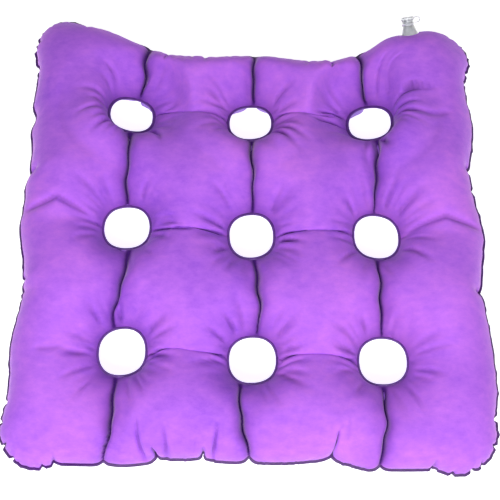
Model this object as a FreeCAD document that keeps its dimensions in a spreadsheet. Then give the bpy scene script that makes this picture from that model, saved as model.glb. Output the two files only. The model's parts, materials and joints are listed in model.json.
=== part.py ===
"""Inflatable pressure-relief seat cushion, as a parametric FreeCAD document, in millimetres.

Two flocked PVC sheets are welded together round their edge and round nine through holes, three rows
of three. Air pushes each sheet out into four chambers that run from front to back. A soft PVC valve
on the back of the right-hand chamber has a flange inside the cover, a flexible skirt that lets the
stem be pressed in, a check flap on the stem's inner end, and a plug on a strap.

+X is the sitter's right as seen from the front, +Y is the back, +Z is up. The origin is on the surface
that the cushion rests on, under the middle of its box. Bodies are drawn about the cushion's mid-plane,
where the welds are, and placed at half the cushion's thickness.
"""

import FreeCAD
import Part
import math
import os

import Sketcher

SIZES = {
    "pitch": (110, "hole centre to hole centre, across and along"),
    "half_width": (203, "from the middle to the outside of the side welds"),
    "half_depth": (201, "from the middle to the outside of the front and back corners"),
    "crest": (34, "half the inflated thickness"),
    "film": (0.6, "thickness of the flocked film"),
    "weld_width": (5, "width of the edge weld"),
    "corner_radius": (43, "radius of the cover's corners, inside the weld"),
    "back_dip": (17, "how far the middle of the back edge pulls in"),
    "front_dip": (5, "how far the middle of the front edge pulls in"),
    "side_dip": (2, "how far the middle of each side edge pulls in"),
    "valley": (13.5, "height of the crease between two chambers above the mid-plane"),
    "crest_rise": (0.6, "how far a chamber's arc rises above the flat strip along its crest"),
    "hole_radius": (20, "radius of each through hole"),
    "ring_radius": (25, "outer radius of the weld round each hole"),
    "dimple_radius": (60, "radius of the cover's curve down to a hole"),
    "dimple_slope": (65, "slope of the cover where it leaves a hole's weld, in degrees"),
    "valve_across": (142, "distance of the valve from the middle, to the right"),
    "valve_tilt": (56, "angle of the valve from upright, towards the back, in degrees"),
    "flange_radius": (12, "radius of the valve's flange"),
    "flange_thick": (0.8, "thickness of the valve's flange"),
    "flange_bore": (6.5, "radius of the opening in the flange"),
    "cover_bore": (9.5, "radius of the opening in the top sheet"),
    "skirt_foot": (9.2, "outer radius of the skirt where it stands on the flange"),
    "skirt_height": (7.4, "height of the skirt's top above the cover"),
    "skirt_wall": (0.5, "thickness of the skirt"),
    "stem_radius": (5, "outer radius of the valve stem"),
    "stem_bore": (3.2, "radius of the bore of the stem"),
    "stem_height": (13, "height of the stem's mouth above the cover"),
    "stem_inside": (6, "length of the stem inside the cover"),
    "lip_radius": (5.8, "radius of the lip at the stem's mouth"),
    "lip_height": (1.2, "height of that lip"),
    "flap_radius": (3.9, "radius of the check flap"),
    "flap_thick": (0.6, "thickness of the check flap"),
    "flap_gap": (0.3, "gap between the check flap and the stem's inner end"),
    "hinge_bead": (0.35, "radius of the bead along the flap's hinge"),
    "hinge_clearance": (0.05, "radial clearance of that bead in the stem's two ears"),
    "ear_place": (2.1, "distance of each ear's inner face from the flap's middle"),
    "ear_thick": (0.8, "thickness of each ear"),
    "ear_half": (0.7, "half the width of an ear, and its depth past the hinge line"),
    "plug_clearance": (0.08, "radial clearance of the plug in the bore"),
    "plug_length": (8, "length of the plug below its head"),
    "plug_head": (5.8, "radius of the plug's head"),
    "plug_head_height": (2.2, "height of the plug's head"),
    "strap_width": (3, "width of the plug's strap"),
    "strap_thick": (0.9, "thickness of the plug's strap"),
    "strap_reach": (11.5, "how far the strap's loop stands out from the stem's axis"),
    "collar_height": (8.4, "height of the strap's collar above the cover"),
    "collar_wall": (1.3, "wall of the strap's collar"),
    "collar_depth": (2, "height of the collar itself"),
}

EDGE_ROUND = "(Sizes.crest - Sizes.film)"
CORNER_X = "(Sizes.half_width - Sizes.weld_width - Sizes.corner_radius)"
CORNER_Y = "(Sizes.half_depth - Sizes.weld_width - Sizes.corner_radius)"
CREST_TOP = "(Sizes.crest + Sizes.crest_rise)"
CHAMBER_RISE = f"({CREST_TOP} - Sizes.valley)"
OUTER_CREST_X = f"(Sizes.half_width - Sizes.weld_width - {EDGE_ROUND})"
DIMPLE_X = "(Sizes.ring_radius + Sizes.dimple_radius * sin(Sizes.dimple_slope * 1 deg))"
DIMPLE_Z = "(Sizes.film - Sizes.dimple_radius * cos(Sizes.dimple_slope * 1 deg))"
STEM_END = "(0 - Sizes.stem_inside)"
FLAP_TOP = "(0 - Sizes.stem_inside - Sizes.flap_gap)"
HINGE_X = "(0 - Sizes.flap_radius - Sizes.hinge_bead)"
HINGE_Z = f"({FLAP_TOP} - Sizes.hinge_bead)"

doc = FreeCAD.newDocument("SeatCushion")
sheet = doc.addObject("Spreadsheet::Sheet", "Sizes")
for row, (alias, (number, note)) in enumerate(SIZES.items(), start=1):
    sheet.set(f"A{row}", alias)
    sheet.set(f"B{row}", str(number))
    sheet.set(f"C{row}", note)
    sheet.setAlias(f"B{row}", alias)
doc.recompute()

START, END, CENTRE = 1, 2, 3
ROOT = (-1, 1)
V_AXIS = -2


def size(expression):
    """The number that an expression on the sheet's cells gives."""
    return float(sheet.evalExpression(expression))


def tangent_arc_sum(half_span, dip):
    """Expression for the side arc's radius plus the corner's, for a side that pulls in by dip."""
    return f"(({half_span})^2 + ({dip})^2) / (2 * ({dip}))"


def new_body(name):
    return doc.addObject("PartDesign::Body", name)


def origin_item(body, role):
    return next(item for item in body.Origin.OriginFeatures if item.Role == role)


def new_sketch(body, name, plane="XY_Plane", offset=None):
    """A sketch on one of the body's origin planes, moved in that plane's axes by expressions."""
    sketch = body.newObject("Sketcher::SketchObject", name)
    sketch.AttachmentSupport = [(origin_item(body, plane), "")]
    sketch.MapMode = "FlatFace"
    for axis, expression in (offset or {}).items():
        sketch.setExpression(f"AttachmentOffset.Base.{axis}", expression)
    return sketch


def bind(sketch, kind, where, expression):
    """Adds a dimension to the sketch and ties it to an expression."""
    index = sketch.addConstraint(Sketcher.Constraint(kind, *where, size(expression)))
    sketch.setExpression(f"Constraints[{index}]", expression)


def place_point(sketch, geometry, point, x, z):
    """Fixes a sketch point at two expressions, either of which may be negative."""
    for kind, expression in (("DistanceX", x), ("DistanceY", z)):
        if size(expression) < 0:
            bind(sketch, kind, (geometry, point, *ROOT), f"-({expression})")
        else:
            bind(sketch, kind, (*ROOT, geometry, point), expression)


def add_arc(sketch, centre, radius, start, end):
    circle = Part.Circle(FreeCAD.Vector(*centre, 0), FreeCAD.Vector(0, 0, 1), radius)
    return sketch.addGeometry(Part.ArcOfCircle(circle, start, end), False)


def add_line(sketch, start, end):
    line = Part.LineSegment(FreeCAD.Vector(*start, 0), FreeCAD.Vector(*end, 0))
    return sketch.addGeometry(line, False)


def add_polygon(sketch, points):
    """A closed polygon whose corners are pairs of expressions."""
    corners = [(size(x), size(z)) for x, z in points]
    edges = [add_line(sketch, corners[k - 1], corners[k]) for k in range(len(corners))]
    for k, edge in enumerate(edges):
        before = edges[k - 1]
        sketch.addConstraint(Sketcher.Constraint("Coincident", before, END, edge, START))
    for edge, (x, z) in zip(edges, points):
        place_point(sketch, edge, END, x, z)


def add_circle(sketch, radius):
    circle = Part.Circle(FreeCAD.Vector(0, 0, 0), FreeCAD.Vector(0, 0, 1), size(radius))
    index = sketch.addGeometry(circle, False)
    sketch.addConstraint(Sketcher.Constraint("Coincident", index, CENTRE, *ROOT))
    bind(sketch, "Radius", (index,), radius)


def add_outline(sketch, inset):
    """The cover's outline: four rounded corners joined by sides that pull in, moved inwards by inset."""
    corner_x, corner_y = size(CORNER_X), size(CORNER_Y)
    corner_radius = size(f"Sizes.corner_radius - ({inset})")
    spans = {
        "back": (CORNER_X, "Sizes.back_dip"),
        "left": (CORNER_Y, "Sizes.side_dip"),
        "front": (CORNER_X, "Sizes.front_dip"),
        "right": (CORNER_Y, "Sizes.side_dip"),
    }
    outward = {"back": (0, 1), "left": (-1, 0), "front": (0, -1), "right": (1, 0)}
    centres, radii = {}, {}
    for side, (half_span, dip) in spans.items():
        total = tangent_arc_sum(half_span, dip)
        away = size(f"{total} - {dip}")
        reach = {"back": corner_y, "front": corner_y, "left": corner_x, "right": corner_x}[side]
        centres[side] = tuple((reach + away) * way for way in outward[side])
        radii[side] = f"{total} - Sizes.corner_radius + ({inset})"
    signs = {"right_back": (1, 1), "back_left": (-1, 1), "left_front": (-1, -1), "front_right": (1, -1)}
    arcs = {}
    for name, (sign_x, sign_y) in signs.items():
        first, second = name.split("_")
        centre = (sign_x * corner_x, sign_y * corner_y)
        angles = [
            math.atan2(centres[side][1] - centre[1], centres[side][0] - centre[0])
            for side in (first, second)
        ]
        if angles[1] < angles[0]:
            angles[1] += 2 * math.pi
        arcs[name] = add_arc(sketch, centre, corner_radius, *angles)
        place_point(
            sketch,
            arcs[name],
            CENTRE,
            CORNER_X if sign_x > 0 else f"-{CORNER_X}",
            CORNER_Y if sign_y > 0 else f"-{CORNER_Y}",
        )
        bind(sketch, "Radius", (arcs[name],), f"Sizes.corner_radius - ({inset})")
    joins = {"back": ("right_back", "back_left"), "left": ("back_left", "left_front")}
    joins.update({"front": ("left_front", "front_right"), "right": ("front_right", "right_back")})
    for side, (before, after) in joins.items():
        ends = []
        for corner in (after, before):
            sign_x, sign_y = signs[corner]
            centre_x, centre_y = centres[side]
            ends.append(math.atan2(sign_y * corner_y - centre_y, sign_x * corner_x - centre_x))
        if ends[1] < ends[0]:
            ends[1] += 2 * math.pi
        arc = add_arc(sketch, centres[side], size(radii[side]), *ends)
        sketch.addConstraint(Sketcher.Constraint("Tangent", arc, END, arcs[before], END))
        sketch.addConstraint(Sketcher.Constraint("Tangent", arc, START, arcs[after], START))
        bind(sketch, "Radius", (arc,), radii[side])


def pad(body, sketch, length, midplane=False):
    feature = body.newObject("PartDesign::Pad", f"{sketch.Name}_pad")
    feature.Profile = sketch
    feature.setExpression("Length", length)
    feature.Midplane = midplane
    return feature


def revolve(body, sketch, kind="PartDesign::Revolution"):
    """Turns the sketch once round its own vertical axis."""
    feature = body.newObject(kind, f"{sketch.Name}_turn")
    feature.Profile = sketch
    feature.ReferenceAxis = (sketch, ["V_Axis"])
    feature.Angle = 360
    return feature


def round_top_edge(body, base, inset):
    """Rounds the pad's top edge nearly down to the seam, as air does."""
    doc.recompute()
    top = base.Shape.BoundBox.ZMax
    names = [
        f"Edge{k}"
        for k, edge in enumerate(base.Shape.Edges, start=1)
        if edge.BoundBox.ZMin > top - 0.01
    ]
    fillet = body.newObject("PartDesign::Fillet", f"{body.Name}_edge_round")
    fillet.Base = (base, names)
    fillet.setExpression("Radius", f"{EDGE_ROUND} - ({inset})")


def cut_chambers(body, inset):
    """Cuts the top down to four arcs side by side, which meet in three creases."""
    sketch = new_sketch(body, f"{body.Name}_chambers", "XZ_Plane")
    rise = CHAMBER_RISE
    inner_radius = f"((Sizes.pitch / 2)^2 + {rise}^2) / (2 * {rise})"
    outer_half = f"({OUTER_CREST_X} - Sizes.pitch)"
    outer_radius = f"({outer_half}^2 + {rise}^2) / (2 * {rise})"
    chambers = [
        (f"-{OUTER_CREST_X}", outer_radius),
        ("-Sizes.pitch / 2", inner_radius),
        ("Sizes.pitch / 2", inner_radius),
        (OUTER_CREST_X, outer_radius),
    ]
    creases = [None, "-Sizes.pitch", "0", "Sizes.pitch", None]
    arcs = []
    for k, (centre, radius) in enumerate(chambers):
        centre_x, centre_z = size(centre), size(f"{CREST_TOP} - {radius}")
        drawn = size(f"{radius} - ({inset})")
        ends = []
        for crease in (creases[k + 1], creases[k]):
            along = 0 if crease is None else (size(crease) - centre_x) / drawn
            ends.append(math.acos(along))
        arc = add_arc(sketch, (centre_x, centre_z), drawn, *ends)
        place_point(sketch, arc, CENTRE, centre, f"{CREST_TOP} - {radius}")
        bind(sketch, "Radius", (arc,), f"{radius} - ({inset})")
        arcs.append(arc)
    for left, right in zip(arcs, arcs[1:]):
        sketch.addConstraint(Sketcher.Constraint("Coincident", left, START, right, END))
    level, above = size(f"{CREST_TOP} - ({inset})"), size("Sizes.crest * 1.5")
    crest_x, beyond = size(OUTER_CREST_X), size("Sizes.half_width * 1.1")
    corners = [(-crest_x, level), (-beyond, level), (-beyond, above)]
    corners += [(beyond, above), (beyond, level), (crest_x, level)]
    lines = [add_line(sketch, *pair) for pair in zip(corners, corners[1:])]
    for before, after in zip(lines, lines[1:]):
        sketch.addConstraint(Sketcher.Constraint("Coincident", before, END, after, START))
    sketch.addConstraint(Sketcher.Constraint("Tangent", arcs[0], END, lines[0], START))
    sketch.addConstraint(Sketcher.Constraint("Tangent", arcs[-1], START, lines[-1], END))
    for k in (1, 3):
        sketch.addConstraint(Sketcher.Constraint("Vertical", lines[k]))
    sketch.addConstraint(Sketcher.Constraint("Horizontal", lines[2]))
    place_point(sketch, lines[1], END, "-Sizes.half_width * 1.1", "Sizes.crest * 1.5")
    bind(sketch, "DistanceX", (*ROOT, lines[3], START), "Sizes.half_width * 1.1")
    pocket = body.newObject("PartDesign::Pocket", f"{body.Name}_chamber_cut")
    pocket.Profile = sketch
    pocket.Midplane = True
    pocket.setExpression("Length", "Sizes.half_depth * 3")


def cut_dimples(body, inset):
    """Cuts one funnel down to a hole's weld, and repeats it at all nine holes."""
    corner_hole = {"x": "-Sizes.pitch", "z": "Sizes.pitch"}
    sketch = new_sketch(body, f"{body.Name}_dimple", "XZ_Plane", corner_hole)
    centre = (size(DIMPLE_X), size(DIMPLE_Z))
    radius = f"Sizes.dimple_radius - ({inset})"
    wall = size(f"Sizes.ring_radius + ({inset})")
    start = math.acos((wall - centre[0]) / size(radius))
    arc = add_arc(sketch, centre, size(radius), math.pi / 2, start)
    place_point(sketch, arc, CENTRE, DIMPLE_X, DIMPLE_Z)
    bind(sketch, "Radius", (arc,), radius)
    foot = centre[1] + size(radius) * math.sin(start)
    head, above = centre[1] + size(radius), size("Sizes.crest * 1.5")
    corners = [(wall, foot), (wall, -1), (0, -1), (0, above), (centre[0], above), (centre[0], head)]
    lines = [add_line(sketch, *pair) for pair in zip(corners, corners[1:])]
    for before, after in zip(lines, lines[1:]):
        sketch.addConstraint(Sketcher.Constraint("Coincident", before, END, after, START))
    sketch.addConstraint(Sketcher.Constraint("Coincident", arc, END, lines[0], START))
    sketch.addConstraint(Sketcher.Constraint("Coincident", arc, START, lines[-1], END))
    for k in (0, 2, 4):
        sketch.addConstraint(Sketcher.Constraint("Vertical", lines[k]))
    for k in (1, 3):
        sketch.addConstraint(Sketcher.Constraint("Horizontal", lines[k]))
    place_point(sketch, lines[0], END, f"Sizes.ring_radius + ({inset})", "-1")
    sketch.addConstraint(Sketcher.Constraint("PointOnObject", lines[2], START, V_AXIS))
    bind(sketch, "DistanceY", (*ROOT, lines[2], END), "Sizes.crest * 1.5")
    bind(sketch, "DistanceX", (*ROOT, lines[4], START), DIMPLE_X)
    groove = revolve(body, sketch, "PartDesign::Groove")
    doc.recompute()
    grid = body.newObject("PartDesign::MultiTransform", f"{body.Name}_dimple_grid")
    grid.Originals = [groove]
    steps = []
    for role in ("X_Axis", "Y_Axis"):
        step = body.newObject("PartDesign::LinearPattern", f"{grid.Name}_{role[0].lower()}")
        step.Direction = (origin_item(body, role), [""])
        step.setExpression("Length", "Sizes.pitch * 2")
        step.Occurrences = 3
        steps.append(step)
    grid.Transformations = steps
    body.Tip = grid


def make_pillow(name, inset):
    """The upper half of the inflated cushion as one solid, every face moved inwards by inset."""
    body = new_body(name)
    outline = new_sketch(body, f"{name}_outline")
    add_outline(outline, inset)
    base = pad(body, outline, f"Sizes.crest - ({inset})")
    round_top_edge(body, base, inset)
    cut_chambers(body, inset)
    cut_dimples(body, inset)
    doc.recompute()
    return body


def boolean(kind, label, base, tool):
    result = doc.addObject(kind, label)
    result.Base, result.Tool = base, tool
    result.Label = label
    return result


def valve_placement():
    """Where the valve's axis leaves the cover, on the rounded back edge, square to the cover."""
    arc_sum = size(tangent_arc_sum(CORNER_X, "Sizes.back_dip"))
    side_radius = arc_sum - size("Sizes.corner_radius")
    centre_y = size(CORNER_Y) + arc_sum - size("Sizes.back_dip")
    tilt = math.radians(size("Sizes.valve_tilt"))
    edge_round = size(EDGE_ROUND)
    distance = side_radius + edge_round * (1 - math.sin(tilt))
    across = size("Sizes.valve_across")
    turn = math.asin(across / distance)
    point = FreeCAD.Vector(
        across,
        centre_y - distance * math.cos(turn),
        size("Sizes.film") + edge_round * math.cos(tilt),
    )
    about_z = FreeCAD.Rotation(FreeCAD.Vector(0, 0, 1), math.degrees(turn))
    about_x = FreeCAD.Rotation(FreeCAD.Vector(1, 0, 0), -math.degrees(tilt))
    return FreeCAD.Placement(point, about_z * about_x)


def make_bore_cutter(name, radius):
    """A cylinder along the valve's axis, through the cover."""
    cutter = doc.addObject("Part::Cylinder", name)
    cutter.setExpression("Radius", radius)
    cutter.setExpression("Height", "Sizes.crest")
    middle = FreeCAD.Placement(FreeCAD.Vector(0, 0, -size("Sizes.crest") / 2), FreeCAD.Rotation())
    cutter.Placement = VALVE.multiply(middle)
    return cutter


def make_sheets(cover):
    """The two sheets of the cover. The bottom one is the top one turned over, with no valve opening."""
    bore = make_bore_cutter("cover_opening", "Sizes.cover_bore")
    top = boolean("Part::Cut", "top_sheet", cover, bore)
    bottom = doc.addObject("Part::Mirroring", "bottom_sheet")
    bottom.Label = "bottom_sheet"
    bottom.Source = cover
    bottom.Normal = FreeCAD.Vector(0, 0, 1)
    return [top, bottom]


def make_edge_weld():
    """The strip round the outside where the two sheets are melted into one."""
    body = new_body("edge_weld")
    sketch = new_sketch(body, "edge_weld_outline")
    add_outline(sketch, "0")
    add_outline(sketch, "-Sizes.weld_width")
    pad(body, sketch, "Sizes.film * 2", midplane=True)
    return body


def make_hole_welds():
    """Nine rings where the two sheets are melted together round a through hole."""
    rows = {"front": -1, "middle": 0, "back": 1}
    columns = {"left": -1, "centre": 0, "right": 1}
    rings = []
    for row_name, row_place in rows.items():
        for column_name, column_place in columns.items():
            body = new_body(f"hole_weld_{row_name}_{column_name}")
            sketch = new_sketch(body, f"{body.Name}_circles")
            add_circle(sketch, "Sizes.ring_radius")
            add_circle(sketch, "Sizes.hole_radius")
            pad(body, sketch, "Sizes.film * 2", midplane=True)
            body.setExpression("Placement.Base.x", f"Sizes.pitch * {column_place}")
            body.setExpression("Placement.Base.y", f"Sizes.pitch * {row_place}")
            rings.append(body)
    return rings


def make_flange(inner, lining):
    """The valve's flange: a disc welded under the top sheet, curved to lie against it."""
    disc = make_bore_cutter("flange_disc", "Sizes.flange_radius")
    bore = make_bore_cutter("flange_opening", "Sizes.flange_bore")
    layer = boolean("Part::Cut", "flange_layer", inner, lining)
    blank = boolean("Part::Common", "flange_blank", layer, disc)
    return boolean("Part::Cut", "valve_flange", blank, bore)


def make_skirt(inner):
    """The flexible cone between flange and stem, trimmed to stand on the curved flange."""
    body = new_body("skirt_cone")
    sketch = new_sketch(body, "skirt_section", "XZ_Plane")
    top_radius = "(Sizes.stem_radius + Sizes.plug_clearance)"
    foot = "Sizes.flange_thick * 3"
    add_polygon(
        sketch,
        [
            (top_radius, "Sizes.skirt_height"),
            (f"{top_radius} + Sizes.skirt_wall", "Sizes.skirt_height"),
            ("Sizes.skirt_foot", "0"),
            ("Sizes.skirt_foot", f"-({foot})"),
            ("Sizes.skirt_foot - Sizes.skirt_wall", f"-({foot})"),
            ("Sizes.skirt_foot - Sizes.skirt_wall", "0"),
        ],
    )
    revolve(body, sketch)
    body.Placement = VALVE
    doc.recompute()
    return boolean("Part::Cut", "valve_skirt", body, inner)


def make_ear(body, side):
    """One of the two ears on the stem's inner end that hold the flap's hinge bead."""
    face = f"{side} * (Sizes.ear_place + Sizes.ear_thick / 2)"
    sketch = new_sketch(body, f"ear_{len(body.Group)}", "XZ_Plane", {"x": HINGE_X, "y": HINGE_Z, "z": face})
    top = f"({STEM_END} - {HINGE_Z} + Sizes.hinge_bead)"
    half = "Sizes.ear_half"
    add_polygon(sketch, [(f"-{half}", f"-{half}"), (half, f"-{half}"), (half, top), (f"-{half}", top)])
    add_circle(sketch, "Sizes.hinge_bead + Sizes.hinge_clearance")
    pad(body, sketch, "Sizes.ear_thick", midplane=True)


def make_stem():
    """The valve's tube, with a lip round its mouth and two ears at its inner end."""
    body = new_body("valve_stem")
    sketch = new_sketch(body, "stem_section", "XZ_Plane")
    add_polygon(
        sketch,
        [
            ("Sizes.stem_bore", STEM_END),
            ("Sizes.stem_radius", STEM_END),
            ("Sizes.stem_radius", "Sizes.stem_height - Sizes.lip_height"),
            ("Sizes.lip_radius", "Sizes.stem_height - Sizes.lip_height * 0.6"),
            ("Sizes.lip_radius", "Sizes.stem_height"),
            ("Sizes.stem_bore", "Sizes.stem_height"),
        ],
    )
    revolve(body, sketch)
    for side in (-1, 1):
        make_ear(body, side)
    return body


def make_check_flap():
    """The disc that closes the stem's inner end, with a bead along its hinge."""
    body = new_body("valve_check_flap")
    disc = new_sketch(body, "flap_disc", "XY_Plane", {"z": f"{FLAP_TOP} - Sizes.flap_thick"})
    add_circle(disc, "Sizes.flap_radius")
    pad(body, disc, "Sizes.flap_thick")
    near = "-Sizes.flap_radius * 0.8"
    tab = new_sketch(body, "flap_hinge_tab", "XZ_Plane")
    low, high = (f"{FLAP_TOP} - Sizes.flap_thick * {share}" for share in (0.8, 0.2))
    add_polygon(tab, [(HINGE_X, low), (near, low), (near, high), (HINGE_X, high)])
    pad(body, tab, "Sizes.ear_place * 1.8", midplane=True)
    bead = new_sketch(body, "flap_hinge_bead", "XZ_Plane", {"x": HINGE_X, "y": HINGE_Z})
    add_circle(bead, "Sizes.hinge_bead")
    pad(body, bead, "(Sizes.ear_place + Sizes.ear_thick) * 2", midplane=True)
    return body


def make_plug():
    """The stopper that closes the stem's mouth, with a rounded tip and a head to pull."""
    body = new_body("valve_plug")
    sketch = new_sketch(body, "plug_section", "XZ_Plane")
    shank = "(Sizes.stem_bore - Sizes.plug_clearance)"
    under = "(Sizes.stem_height + Sizes.plug_clearance)"
    tip = f"{under} - Sizes.plug_length"
    add_polygon(
        sketch,
        [
            ("0", tip),
            (f"{shank} * 0.75", tip),
            (shank, f"{tip} + {shank} * 0.4"),
            (shank, under),
            ("Sizes.plug_head", under),
            ("Sizes.plug_head", f"{under} + Sizes.plug_head_height * 0.7"),
            ("Sizes.plug_head * 0.9", f"{under} + Sizes.plug_head_height"),
            ("0", f"{under} + Sizes.plug_head_height"),
        ],
    )
    revolve(body, sketch)
    return body


def make_strap():
    """The collar that grips the stem, and the bent strap that keeps the plug from being lost."""
    body = new_body("plug_strap")
    inner = "(Sizes.stem_radius + Sizes.plug_clearance)"
    low = "Sizes.collar_height"
    collar = new_sketch(body, "collar_section", "XZ_Plane")
    add_polygon(
        collar,
        [
            (inner, low),
            (f"{inner} + Sizes.collar_wall", low),
            (f"{inner} + Sizes.collar_wall", f"{low} + Sizes.collar_depth"),
            (inner, f"{low} + Sizes.collar_depth"),
        ],
    )
    revolve(body, collar)
    strap = new_sketch(body, "strap_section", "XZ_Plane")
    head_middle = "(Sizes.stem_height + Sizes.plug_head_height / 2)"
    leg_low = f"({low} + Sizes.collar_depth / 2)"
    bend = f"(({head_middle} - {leg_low}) / 2)"
    bend_x = f"(Sizes.strap_reach - {bend})"
    bend_z = f"(({head_middle} + {leg_low}) / 2)"
    root_x = f"({inner} + Sizes.collar_wall / 2)"
    tip_x = "(Sizes.plug_head + Sizes.plug_clearance)"
    centre = (size(bend_x), size(bend_z))
    arcs, legs = [], []
    for side in ("+", "-"):
        radius = f"{bend} {side} Sizes.strap_thick / 2"
        arc = add_arc(strap, centre, size(radius), -math.pi / 2, math.pi / 2)
        place_point(strap, arc, CENTRE, bend_x, bend_z)
        bind(strap, "Radius", (arc,), radius)
        arcs.append(arc)
        for end_x, end, level in ((root_x, START, -1), (tip_x, END, 1)):
            height = centre[1] + level * size(radius)
            leg = add_line(strap, (size(end_x), height), (centre[0], height))
            strap.addConstraint(Sketcher.Constraint("Tangent", leg, END, arc, end))
            bind(strap, "DistanceX", (*ROOT, leg, START), end_x)
            strap.addConstraint(Sketcher.Constraint("Horizontal", leg))
            legs.append(leg)
    for outer, within in ((legs[0], legs[2]), (legs[1], legs[3])):
        points = [strap.getPoint(leg, START) for leg in (outer, within)]
        cap = add_line(strap, *((point.x, point.y) for point in points))
        strap.addConstraint(Sketcher.Constraint("Coincident", cap, START, outer, START))
        strap.addConstraint(Sketcher.Constraint("Coincident", cap, END, within, START))
    pad(body, strap, "Sizes.strap_width", midplane=True)
    return body


def check(parts):
    """Stops if any object failed or any sub-part is not a valid solid."""
    failed = [o.Label for o in doc.Objects if {"Invalid", "Error"} & set(o.State)]
    if failed:
        raise RuntimeError(f"these objects failed: {failed}")
    for part in parts:
        shape = part.Shape
        if shape.isNull() or not shape.isValid() or not shape.Solids:
            raise RuntimeError(f"{part.Label} is not a valid solid")
        print(f"{part.Label}: {len(shape.Solids)} solid, {shape.Volume:.1f} mm3")


VALVE = valve_placement()
outer = make_pillow("pillow_outside", "0")
inner = make_pillow("pillow_inside", "Sizes.film")
lining = make_pillow("pillow_lining", "(Sizes.film + Sizes.flange_thick)")
cover = boolean("Part::Cut", "cover", outer, inner)

welded = make_sheets(cover) + [make_edge_weld()] + make_hole_welds()
valve_seat = [make_flange(inner, lining), make_skirt(inner)]
valve_moving = [make_stem(), make_check_flap(), make_plug(), make_strap()]
for part in valve_moving:
    part.Placement = VALVE
doc.recompute()

for part in welded + valve_seat + valve_moving:
    part.Placement.Base.z += size("Sizes.crest")
doc.recompute()

subparts = welded + valve_seat + valve_moving
check(subparts)
os.makedirs("parts", exist_ok=True)
for part in subparts:
    part.Shape.exportStep(f"parts/{part.Label}.step")
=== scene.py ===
"""Looks of an inflatable seat cushion: two sheets of flocked film, welded flat and then blown up.

The cover is made as the real one is. A flat pattern of two sheets, joined along a line near the edge and
round nine holes, is triangulated and inflated by a cloth solver that hardly lets it stretch. That gives
the puckers along the welds and the chambers between the holes. The folds, creases and wrinkles that the
air leaves sharp are then cut into it, it settles into the way it lies, and the welds, the valve and the
materials are added. All lengths are in metres.
"""

import json
import math

import bpy
import numpy as np
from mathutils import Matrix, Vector
from mathutils.geometry import delaunay_2d_cdt


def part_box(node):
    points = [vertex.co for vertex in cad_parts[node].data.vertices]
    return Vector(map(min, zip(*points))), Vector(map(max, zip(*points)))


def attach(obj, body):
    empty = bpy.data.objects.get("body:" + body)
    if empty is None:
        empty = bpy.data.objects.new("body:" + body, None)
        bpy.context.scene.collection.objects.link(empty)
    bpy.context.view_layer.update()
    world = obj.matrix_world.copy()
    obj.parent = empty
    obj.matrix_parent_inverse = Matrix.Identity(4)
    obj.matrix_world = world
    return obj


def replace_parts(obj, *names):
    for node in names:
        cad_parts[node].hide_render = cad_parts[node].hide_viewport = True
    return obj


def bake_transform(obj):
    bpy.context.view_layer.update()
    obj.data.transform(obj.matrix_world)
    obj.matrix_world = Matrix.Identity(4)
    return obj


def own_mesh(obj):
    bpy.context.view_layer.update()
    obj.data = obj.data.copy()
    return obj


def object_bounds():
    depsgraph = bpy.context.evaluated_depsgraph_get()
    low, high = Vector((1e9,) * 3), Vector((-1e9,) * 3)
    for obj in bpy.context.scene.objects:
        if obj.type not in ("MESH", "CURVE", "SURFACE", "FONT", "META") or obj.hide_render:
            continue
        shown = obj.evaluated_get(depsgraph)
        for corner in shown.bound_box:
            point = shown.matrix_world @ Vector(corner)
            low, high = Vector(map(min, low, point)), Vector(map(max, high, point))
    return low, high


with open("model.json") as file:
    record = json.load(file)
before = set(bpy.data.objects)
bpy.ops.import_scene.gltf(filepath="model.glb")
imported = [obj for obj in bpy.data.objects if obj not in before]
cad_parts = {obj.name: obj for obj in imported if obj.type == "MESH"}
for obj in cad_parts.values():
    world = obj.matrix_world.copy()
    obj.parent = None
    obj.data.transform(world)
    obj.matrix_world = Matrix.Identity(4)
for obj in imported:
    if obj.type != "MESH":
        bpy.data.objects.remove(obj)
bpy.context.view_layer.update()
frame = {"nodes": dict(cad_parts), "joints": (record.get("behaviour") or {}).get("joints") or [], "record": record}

ROWS = ("front", "middle", "back")
COLUMNS = ("left", "centre", "right")
RING_NODES = [f"hole_weld_{row}_{column}" for row in ROWS for column in COLUMNS]


def smoothstep(x, low, high):
    t = np.clip((x - low) / (high - low), 0, 1)
    return t * t * (3 - 2 * t)


def box_centre(node):
    low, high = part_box(node)
    return np.array((low + high) / 2)


def box_size(node):
    low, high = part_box(node)
    return np.array(high - low)


RING_CENTRES = np.array([box_centre(node) for node in RING_NODES])
PITCH = RING_CENTRES[:, 0].max()
MID_Z = RING_CENTRES[0, 2]
WELD_WIDTH = (box_size("edge_weld")[0] - box_size("top_sheet")[0]) / 2
HOLE_RADIUS = box_size(RING_NODES[0])[0] / 2 - WELD_WIDTH
RING_WIDTH = 0.0027
RING_RADIUS = HOLE_RADIUS + RING_WIDTH
SEAM_HALF = box_size("top_sheet")[:2] / 2

# The flat pattern, before any air is in it: hole spacing, half sizes at the weld line, corner radius.
FLAT_PITCH = PITCH * 1.115
FLAT_HALF = SEAM_HALF + np.array([0.0425, 0.0385])
FLAT_CORNER = 0.05

# The solver. LEVELS are the steps taken at each fineness, and AIR_DROP is how much less the air moves
# the sheets in a step at the next one.
COARSE_STEP = 0.0082
GRID_CLEAR, GRID_JITTER, LEVEL_JITTER = 0.55, 0.12, 0.03
LEVELS = ((450, 260, 130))
AIR = 4e-5
AIR_DROP = 3.5
DAMPING = 0.03
BENDING = 0.02
SQUEEZE = 0.8
FOLD_PULL = 0.0004
RING_HOLD = 0.5
START_GAP, START_RISE, START_EDGE = 0.003, 0.02, 0.04

# Where the air lifts more or less: along the rows of holes, outside the outer holes, along the columns.
COLUMN_WIDTH, ROW_WIDTH = 0.007, 0.028
ROW_LIFT, OUTSIDE_LIFT, COLUMN_REST = 0.8, 1.2, 0.6

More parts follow.
